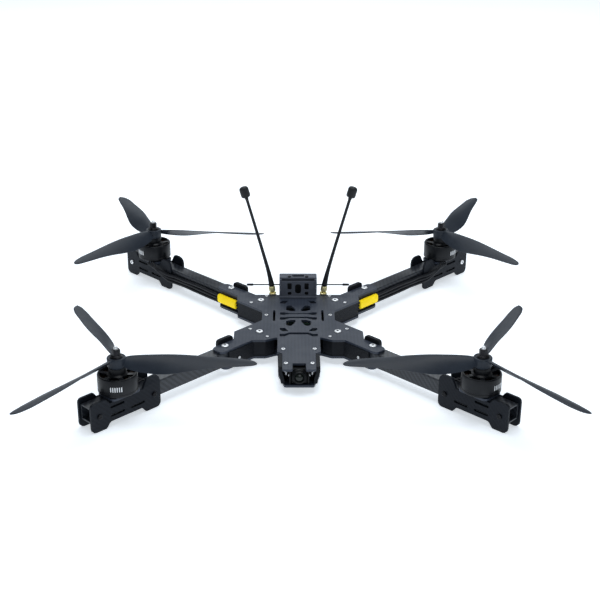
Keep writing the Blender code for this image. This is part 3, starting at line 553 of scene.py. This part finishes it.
bolts = Shape()
for arm in ARMS:
    foot = arm_point(arm, OUTER_BOLT, 0, (PLATE_TOP + 0.05) * MM)
    bolts.screw(foot, radius=4.7, height=1.4, key=2, turn=30)
    bolts.turned([(2.5, -31), (2.5, 0.2)], 24, aimed(foot))
    bolts.nut(aimed(foot), 4.6, 4.1, 2.3, -30.9)
bolts.add("arm_bolts", STEEL, instead=["arm_bolt_" + arm for arm in ARMS])

posts = Shape()
front_posts = Shape()
for side in (-1, 1):
    profile = [(2.6, 11.5), (2.9, 11.9), (2.9, 13.5), (2.5, 13.9)]
    profile += [(2.5, 29.6), (2.9, 30), (2.9, 31.5), (2.6, 31.9)]
    posts.turned(profile, 24, aimed(spot(side * 43, 1.2, 0)))
    nose_post = aimed(spot(side * NOSE_POST[0], NOSE_POST[1], 0))
    posts.turned([(1.9, 20), (2.3, 20.3), (2.3, 23.7), (1.9, 24)], 24, nose_post)
    posts.turned([(0.9, 27), (1.1, 27.2), (1.1, 31.2), (0.9, 31.4)], 16, aimed(spot(side * 17.6, -151.5, 0)))
    front_posts.turned([(1.8, 11.5), (2, 11.9), (2, 31.5), (1.8, 31.9)], 24, nose_post)
posts.add("standoffs", ALLOY)
front_posts.add("front_standoffs", DARK_STEEL)

cheek_bolts = {"front": Shape(), "rear": Shape()}
for arm, (side, end) in ARMS.items():
    across = Vector((side, -end, 0))
    for s, z in ((-42.6, 18.8), (38.4, 19.5)):
        for way in (-1, 1):
            place = arm_point(arm, MOTOR_S + s * MM, way * 13.35 * MM, z * MM)
            kind = cheek_bolts["front" if end < 0 else "rear"]
            kind.screw(place, across * way, 3.3, 1.9, 1.45, turn=s + way * 9)
cheek_bolts["front"].add("cheek_bolts_front", DARK_STEEL)
cheek_bolts["rear"].add("cheek_bolts_rear", STEEL)

# Near-black plugs that fill the screw sockets nearly to the top: painted shade for the dark recess.
socket_shade = Shape()
for matrix, key, height in SOCKETS:
    socket_shade.turned([(-(key + 0.04), height * 0.15), (-(key + 0.04), height * 0.9)], 24, matrix)
socket_shade.add("socket_painted_shade", CASE)

# Dark backings, painted shade that closes the view through openings: half width, y range, z range, edge,
# look.
SHADE_SHEETS = {
    "camera_shade_sheet": (10.9, (-152.9, -134.1), (8.5, 9.3), 0.2, CASE),
    "rear_shade_sheet": (28, (33, 58), (28.8, 31.2), 0.5, RUBBER),
    "bracket_shade_sheet": (22, (62.3, 63.3), (38, 59), 0.2, CASE),
}
MIDDLE = Matrix.Translation(spot(0, 0, 0))
for name, (half, ys, zs, edge, look) in SHADE_SHEETS.items():
    shade_sheet = Shape()
    shade_sheet.block((-half, ys[0], zs[0]), (half, ys[1], zs[1]), MIDDLE, edge)
    shade_sheet.add(name, look)

# --- motors -------------------------------------------------------------------------------------

BELL_R = 24
BELL_LOW, BELL_HIGH = 37.2, 59.2
SPOKE_FOOT = 55.4  # the windings stay under this
MARKS, MARK_PITCH = 6, 6.2  # bars on a bell, and degrees between them
COILS = 12

outer = Shape()
low, high = BELL_LOW, BELL_HIGH
wall = [(2.6, SPOKE_FOOT), (22, 56), (22, low), (23.6, low), (BELL_R, low + 0.5), (BELL_R, low + 2.6)]
wall += [(23.65, low + 2.9), (23.65, low + 3.5), (BELL_R, low + 3.8), (BELL_R, high - 1.4)]
wall += [(23.6, high - 0.5)]
wall += [(22.9, high), (22, high), (20.9, high - 0.7), (12.7, high - 1.5), (10.4, high + 0.2)]
wall += [(9.9, 65.6), (10.6, 66.4), (10.6, 67), (2.6, 67)]
outer.turned(wall, 96, hollow=True)
cutters = []
for k in range(6):
    heading = 60 * k + 15
    ring = []
    for radius, width in ((21.3, 22.5), (12.5, -18)):
        for i in range(9):
            angle = math.radians(heading + (i / 4 - 1) * width)
            ring.append((radius * math.cos(angle), radius * math.sin(angle)))
    cutter = Shape()
    cutter.prism(ring, 50, 64)
    cutters.append(cutter)
BELL_MESH = joined(outer, cutters, "DIFFERENCE")

for arm, axis in AXES.items():
    foot = Vector((axis.x, axis.y, 0))
    mesh = BELL_MESH.copy()
    mesh.transform(Matrix.Translation(foot) @ Matrix.Rotation(math.radians(BELL_TURN[arm]), 4, "Z"))
    bell = show("bell_" + arm, mesh, BELL, "rotor_" + arm, ["motor_bell_" + arm])

    shaft = Shape()
    profile = [(2.2, 37.3), (2.5, 37.8), (2.5, 80)]
    z = 80.0
    while z < 91.0:
        profile += [(2.5, z + 0.25), (2.15, z + 0.5), (2.5, z + 0.75)]
        z += 0.8
    profile += [(2.5, 91.9), (1.6, 92.8)]
    shaft.turned(profile, 24, aimed(foot))
    shaft.add("shaft_" + arm, STEEL, "rotor_" + arm)

    marks = Shape()
    for k in range(MARKS):
        angle = math.radians(MARK_TURN[arm] + (k - (MARKS - 1) / 2) * MARK_PITCH)
        out = Vector((math.cos(angle), math.sin(angle), 0))
        place = foot + out * (BELL_R - 0.04) * MM + Vector((0, 0, 47.7 * MM))
        marks.block((-0.6, -3, 0), (0.6, 3, 0.16), aimed(place, out), 0.04)
    marks.add("bell_marks_" + arm, PAINT, "rotor_" + arm)

    coils = Shape()
    for k in range(COILS):
        turn = Matrix.Translation(foot) @ Matrix.Rotation(2 * math.pi * k / COILS, 4, "Z")
        for i in range(5):
            reach = 10.2 + i * 2.05
            half = 1.5 + i * 0.38
            coils.block((reach, -half, BELL_LOW + 0.4), (reach + 1.95, half, SPOKE_FOOT - 1), turn, 0.7)
    coils.add("windings_" + arm, COPPER)

    nut = Shape()
    nut.turned([(2.7, 79.4), (7.3, 79.4), (7.5, 79.6), (7.5, 80.3), (7.2, 80.5), (2.7, 80.5)], 36,
               aimed(foot), True)
    nut.turned([(6.6, 80.6), (6.6, 81.2), (5.2, 81.8), (-5.2, 82.2), (-5.2, 88.1), (4.5, 89.1),
                (4.1, 89.3), (2.7, 89.3), (2.7, 80.6)], 24, aimed(foot, turn=NUT_TURN[arm]), True)
    nut.add("prop_nut_" + arm, DARK_STEEL, "rotor_" + arm, ["propeller_nut_" + arm])

# --- propellers ---------------------------------------------------------------------------------

STATIONS = [(7, 3, 7.5, 40), (16, 5.4, 12.5, 40), (30, 6.8, 15.8, 40), (46, 7.8, 18, 38)]
STATIONS += [(64, 9, 18.8, 31), (82, 9.4, 16.8, 25), (102, 9, 13.6, 19), (122, 8.2, 11, 14.5)]
STATIONS += [(142, 7.6, 9.4, 11), (150, 6.4, 8.4, 10), (156, 5.2, 7.8, 9), (160, 3.7, 7.1, 8.7)]
STATIONS += [(163, 1.9, 6.1, 8.4), (165, -0.2, 4.8, 8.2), (166, -2.4, 3.2, 8)]
SECTION = [(0, 0), (0.03, 0.26), (0.09, 0.46), (0.2, 0.72), (0.34, 0.9), (0.48, 0.93), (0.62, 0.84)]
SECTION += [(0.78, 0.62), (0.9, 0.36), (1, 0.12), (0.995, -0.05), (0.85, 0.03), (0.6, 0.09), (0.36, 0.05)]
SECTION += [(0.16, -0.03), (0.03, -0.1)]


def blade(heading, spin):
    """One blade about the motor's axis; spin is +1 for anticlockwise seen from above."""
    line = smooth([(s[0], s[1], s[2]) for s in STATIONS], 4)
    pitches = smooth([(s[3], 0, 0) for s in STATIONS], 4)
    out = Vector((math.cos(heading), math.sin(heading), 0))
    ahead = Vector((-out.y, out.x, 0)) * spin
    rings = []
    for (r, lead, trail), pitch in zip(line, pitches):
        angle = math.radians(pitch.x)
        chord_way = ahead * math.cos(angle) + Vector((0, 0, math.sin(angle)))
        lift_way = Vector((0, 0, math.cos(angle))) - ahead * math.sin(angle)
        middle = out * r + Vector((0, 0, 75.8 + 2 * r / 166))
        thick = 3.4 - 2.2 * r / 166
        rings.append([middle + chord_way * (lead - along * (lead + trail)) + lift_way * lift * thick
                      for along, lift in SECTION])
    made = Shape()
    made.rings(rings)
    return made


def rotor(spin):
    """A propeller about the motor's axis with its first blade along +X."""
    hub = Shape()
    hub.turned([(2.8, 67.3), (10.4, 67.3), (10.9, 67.6), (11.1, 68.2), (11.4, 77.8), (11.1, 78.8),
                (10.5, 79.2), (9.2, 79.2), (8.8, 78.9), (8.4, 78.9), (8.1, 79.2), (2.8, 79.2)],
               72, hollow=True)
    return joined(hub, [blade(2 * math.pi * k / 3, spin) for k in range(3)], "UNION")


ROTORS = {1: rotor(1), -1: rotor(-1)}
for arm, (side, end) in ARMS.items():
    axis = AXES[arm]
    mesh = ROTORS[side * end].copy()
    mesh.transform(Matrix.Translation((axis.x, axis.y, 0))
                   @ Matrix.Rotation(math.radians(BLADE_ANGLE[arm]), 4, "Z"))
    show("blades_" + arm, mesh, BLADE, "rotor_" + arm, ["propeller_" + arm], 40)

# --- motor leads and their yellow wraps ---------------------------------------------------------

LEAD_R, SLEEVE_R, FRONT_LEAD_R = 1, 2.2, 1.05
SLEEVE_START = 27.2  # from the motor's axis, so that the sleeves stay clear of the bell
WRAP_M, WRAP_Z = 13.75, 20.9  # middle of the yellow wrap, sideways and up

for arm in ("rear_left", "rear_right"):
    leads = Shape()
    for k in (-1, 0, 1):
        # Thin ends pass under the bell's rim, and the sleeves start beside it.
        angle = math.radians(128.5 - 7 * k)
        thin = [(r * math.cos(angle), r * math.sin(angle), z)
                for r, z in ((17, 36), (23, 36), (26, 35.6), (28.4, 34))]
        line = [arm_point(arm, MOTOR_S + s * MM, m * MM, z * MM) for s, m, z in thin]
        leads.tube(smooth(line, 5), LEAD_R, 12)
        route = [(MOTOR_S / MM + SLEEVE_START * math.cos(angle), SLEEVE_START * math.sin(angle), 34.8, 0)]
        route += [(MOTOR_S / MM - 22, 19.8, 30, 3 * k), (MOTOR_S / MM - 34, 17.8, 25 + 2 * k, k)]
        route += [(MOTOR_S / MM - 50, 16.4, 20.5 + 4 * k, 0), (240, 13.4, 19.5 + 4.7 * k, 0)]
        for s in (222, 204, 186, 168, 150, 130, 112, 92, 70, 55):
            route.append((s, 12.85 + 0.25 * math.sin(s * 0.11 + k * 2), 19.5 + 4.65 * k
                          + 0.35 * math.sin(s * 0.07 + k), 0))
        route += [(44, 9 + k, 18 + 3 * k, 0), (34, 3 + 2 * k, 17 + k, 0)]
        points = [arm_point(arm, (s + shift) * MM, m * MM, z * MM) for s, m, z, shift in route]
        leads.tube(smooth(points, 5), SLEEVE_R, 14)
    leads.add("motor_wires_" + arm, WIRE, instead=["motor_leads_" + arm])

    wrap = Shape()
    rings = []
    for i, s in enumerate([107.8, 108.1, 109.2] + [110 + 2 * j for j in range(17)] + [143.4, 144.5, 144.8]):
        grow = {0: 0.78, 1: 0.93, 20: 1.0, 21: 0.93, 22: 0.78}.get(i, 1.0)
        ring = []
        for j in range(32):
            angle = 2 * math.pi * j / 32
            c, v = math.cos(angle), math.sin(angle)
            crease = 1 + 0.022 * math.sin(s * 1.9 + 2.5 * math.sin(angle * 2)) * (grow > 0.99)
            crease += 0.015 * math.sin(s * 0.7 + angle * 3)
            m = WRAP_M + 3.4 * grow * crease * math.copysign(abs(c) ** 0.7, c)
            z = WRAP_Z + 6.5 * grow * crease * math.copysign(abs(v) ** 0.8, v)
            ring.append(arm_point(arm, s * MM, m * MM, z * MM) / MM)
        rings.append(ring)
    wrap.rings(rings)
    wrap.add("yellow_wrap_" + arm, YELLOW, sharp=60)

for arm in ("front_left", "front_right"):
    leads = Shape()
    seals = Shape()
    for k in (-1, 0, 1):
        route = [(-18, 4.2, 36.1), (-24.6, 4.3, 36.1), (-28, 4.4, 37.4), (-31.5, 4.4, 38)]
        route += [(-36, 4.2, 36.4), (-40, 3.9, 33.6), (-43, 3.5, 30.5)]
        line = [arm_point(arm, MOTOR_S + s * MM, k * m * MM, z * MM) for s, m, z in route]
        leads.tube(smooth(line, 5), FRONT_LEAD_R, 14)
        foot = arm_point(arm, MOTOR_S - 42.6 * MM, k * 3.5 * MM, TUBE_HIGH - 0.2 * MM)
        seals.turned([(1.8, 0), (2.1, 0.2), (2.1, 0.9), (1.7, 1.3), (1.2, 1.3), (1.2, 0)], 20,
                     aimed(foot), True)
    leads.add("motor_wires_" + arm, WIRE)
    seals.add("lead_seals_" + arm, RUBBER)

# --- camera -------------------------------------------------------------------------------------

REST_TILT = 12  # degrees nose up, as in the CAD

nose = Matrix.Translation(CAMERA_AXIS) @ Matrix.Rotation(math.radians(90 - REST_TILT), 4, "X")
barrel = Shape()
barrel.turned([(5.4, 5.4), (9.2, 5.4), (9.3, 5.6), (9.3, 6.4), (9.0, 6.6), (9.0, 6.9), (9.3, 7.1),
               (9.3, 7.9), (9.0, 8.1), (9.0, 8.4), (9.3, 8.6), (9.3, 9.6), (8.9, 10.6), (8.2, 11),
               (7.6, 11), (7.3, 11.3), (7.3, 14.4), (6.9, 15), (6.2, 15), (5.9, 14.6), (5.6, 13.6),
               (5.4, 13.0)], 64, nose, True)
barrel.add("lens_barrel", CASE, "camera", ["camera_lens"])
glass = Shape()
glass.turned([(5.35, 8), (5.35, 13.1), (4.8, 13.5), (4, 13.85), (3, 14.1), (2, 14.25), (1, 14.33),
              (0.2, 14.35)], 48, nose)
glass.add("lens_glass_front", GLASS, "camera", sharp=50)
corners = Shape()
for x in (-1, 1):
    for y in (-1, 1):
        corners.screw(nose @ Vector((x * 7.9 * MM, y * 7.9 * MM, 5 * MM)), nose.to_3x3() @ Vector((0, 0, 1)),
                      1.0, 0.5, 0.45)
corners.add("camera_screws", DARK_STEEL, "camera")

# --- antennas -----------------------------------------------------------------------------------

PLUG_LEAN = 6.6

for label, side in (("left", -1), ("right", 1)):
    lean = Matrix.Rotation(side * math.radians(PLUG_LEAN), 4, "Y")
    lean = Matrix.Translation(spot(side * 35.4, 72.6, 35.9)) @ lean
    plug = Shape()
    plug.turned([(-5.2, 0), (-5.2, 1.7), (4.4, 2.1), (3.2, 2.2), (3.2, 4.3), (-4.5, 4.4), (-4.5, 10.6),
                 (3.9, 11.1), (3.5, 11.7)], 24, lean)
    for k in range(3):
        z = 2.35 + k * 0.6
        plug.turned([(3.2, z), (3.5, z + 0.2), (3.5, z + 0.35), (3.2, z + 0.55)], 24, lean)
    plug.add("antenna_plug_" + label, GOLD, instead=["sma_connector_" + label])

    point = lean @ Vector((0, 0, 12 * MM))
    # Along the whip: distance, lean in degrees, radius.
    turns = [(0, 8, 3.7), (0.5, 8.2, 4), (3.4, 9.3, 4), (4, 9.5, 3.7), (7, 10.3, 3.5), (10, 11, 3.4)]
    turns += [(15, 12, 3.1), (20, 13, 2.9), (25, 13.5, 2.7), (30, 14, 2.6), (45, 14.8, 2.35)]
    turns += [(60, 15, 2.25), (75, 15.2, 2.2), (92, 15.4, 2.1), (110, 15.5, 2.05), (129, 15.5, 2.05)]
    turns += [(131, 15.5, 2.2), (133, 15.5, 2.6), (135, 15.5, 2.8), (135.2, 15.5, 5.4)]
    turns += [(135.9, 15.5, 6.1), (137, 15.5, 6.4), (146.2, 15.5, 6.4), (147.8, 15.5, 6)]
    turns += [(149, 15.5, 5), (149.6, 15.5, 3.4)]
    rings, last = [], 0
    for length, degrees, radius in turns:
        way = Vector((side * math.sin(math.radians(degrees)), 0, math.cos(math.radians(degrees))))
        point = point + way * (length - last) * MM
        last = length
        over = Vector((way.z, 0, -way.x))
        rings.append([point / MM + over * x + Vector((0, y, 0)) for x, y, _ in circle(radius, 28)])
    whip = Shape()
    whip.rings(rings)
    whip.add("whip_" + label, RUBBER, instead=["antenna_" + label])

bar = Shape()
profile = [(1.1, -72), (1.5, -71.4), (1.7, -63.6), (1.4, -63), (0.95, -62.8), (0.9, -62), (0.9, -8)]
profile += [(1.1, -7.4), (2.7, -7.1), (3.2, -6.4), (3.2, 6.4), (2.7, 7.1), (1.1, 7.4), (0.9, 8)]
profile += [(0.9, 62), (0.95, 62.8), (1.4, 63), (1.7, 63.6), (1.5, 71.4), (1.1, 72)]
bar.turned(profile, 20, aimed(spot(0, 84, 44.6), (1, 0, 0)))
bar.add("receiver_antenna", RUBBER, instead=["t_antenna"])

# --- boards -------------------------------------------------------------------------------------

chips = Shape()
pins = Shape()
for x, y, half_x, half_y, tall in ((-11, -9, 3, 3, 1.2), (11, 8, 2.4, 4, 1.4), (-4, 14, 3.4, 2, 1),
                                   (7, -14, 3, 1.8, 1), (14, 0, 1.8, 3, 1), (-15, 1, 1.6, 3, 1)):
    chips.block((x - half_x, y - half_y, 24.1), (x + half_x, y + half_y, 24.1 + tall), MIDDLE, 0.15)
    for k in range(5):
        for way in (-1, 1):
            px = x + way * (half_x + 0.35)
            py = y + (k - 2) * half_y * 0.38
            pins.block((px - 0.45, py - 0.14, 24.1), (px + 0.45, py + 0.14, 24.35), MIDDLE, 0.04)
for side in (-1, 1):
    for k in range(6):
        x, y = side * 17.6, (k - 2.5) * 4.6
        pins.block((x - 0.9, y - 0.8, 24.05), (x + 0.9, y + 0.8, 24.35), MIDDLE, 0.08)
chips.add("board_chips", CASE)
pins.add("board_pads", GOLD)
stack = Shape()
for x in (-15.25, 15.25):
    for y in (-15.25, 15.25):
        stack.nut(aimed(spot(x, y, 0), turn=x + y), 3.1, 2.4, 1.4, 24.3)
        stack.turned([(1.5, 11.6), (1.5, 28.4), (1.2, 28.8)], 16, aimed(spot(x, y, 0)))
stack.add("stack_screws", DARK_STEEL)
BOARD_WIRE_R = 0.75

wires = Shape()
for k in range(5):
    x = (k - 2) * 2.1
    points = [spot(x, -15.5, 25.4), spot(x * 1.1, -19.5, 26.6), spot(x * 1.2, -26, 24 + 0.6 * (k % 2)),
              spot(x * 1.2, -34, 19.5), spot(x * 1.3, -50, 15.5), spot(x * 1.2, -80, 14.2),
              spot(x * 0.9, -118, 14)]
    wires.tube(smooth(points, 5), BOARD_WIRE_R, 8)
    points = [spot(x, 14.5, 25.4), spot(x, 19, 26.4), spot(x * 1.2, 25, 23.5), spot(x * 1.3, 31, 19),
              spot(x * 1.3, 33.5, 17.4)]
    wires.tube(smooth(points, 5), BOARD_WIRE_R, 8)
wires.add("board_wires", WIRE)

# --- frame nodes --------------------------------------------------------------------------------

# Looks of the CAD nodes that stay visible, by the start of their names; the rest are printed nylon.
NODE_LOOKS = {
    ("top_plate", "bottom_plate", "motor_plate"): PLATE,
    ("mount_cheek",): CHEEK,
    ("arm_tube",): TUBE,
    ("motor_stator",): BELL,
    ("motor_leads",): WIRE,
    ("camera_", "video_transmitter"): CASE,
    ("flight_controller", "esc_board"): BOARD,
    ("rear_bracket",): BRACKET,
}
WELD_GAP, SOFT_EDGE = 0.01 * MM, 0.25 * MM
FLOOR_DROP = 0.2 * MM

for node, body in frame["nodes"].items():
    look = next((look for starts, look in NODE_LOOKS.items() if node.startswith(starts)), NYLON)
    body.data.materials.clear()
    body.data.materials.append(look)
    weld = body.modifiers.new("weld", "WELD")
    weld.merge_threshold = WELD_GAP
    soften = body.modifiers.new("soften", "BEVEL")
    soften.width = SOFT_EDGE
    soften.segments = 2
    soften.limit_method = "ANGLE"
    soften.angle_limit = math.radians(40)

floor_bm = bmesh.new()
bmesh.ops.create_grid(floor_bm, x_segments=1, y_segments=1, size=6)
floor_mesh = bpy.data.meshes.new("floor")
floor_bm.to_mesh(floor_mesh)
floor_bm.free()
floor = bpy.data.objects.new("floor", floor_mesh)
scene.collection.objects.link(floor)
floor.location.z = -FLOOR_DROP
floor_look = Look("pale_floor", Roughness=0.6)
cloud = floor_look.span(floor_look.noise(3, 2), 0, 1, 0.35, 0.65)
floor_look.finish(Base_Color=floor_look.blend(cloud, (0.85, 0.90, 0.96), (0.87, 0.92, 0.98)),
                  Emission_Color=(0.92, 0.965, 1), Emission_Strength=0.56)
floor_mesh.materials.append(floor_look.material)
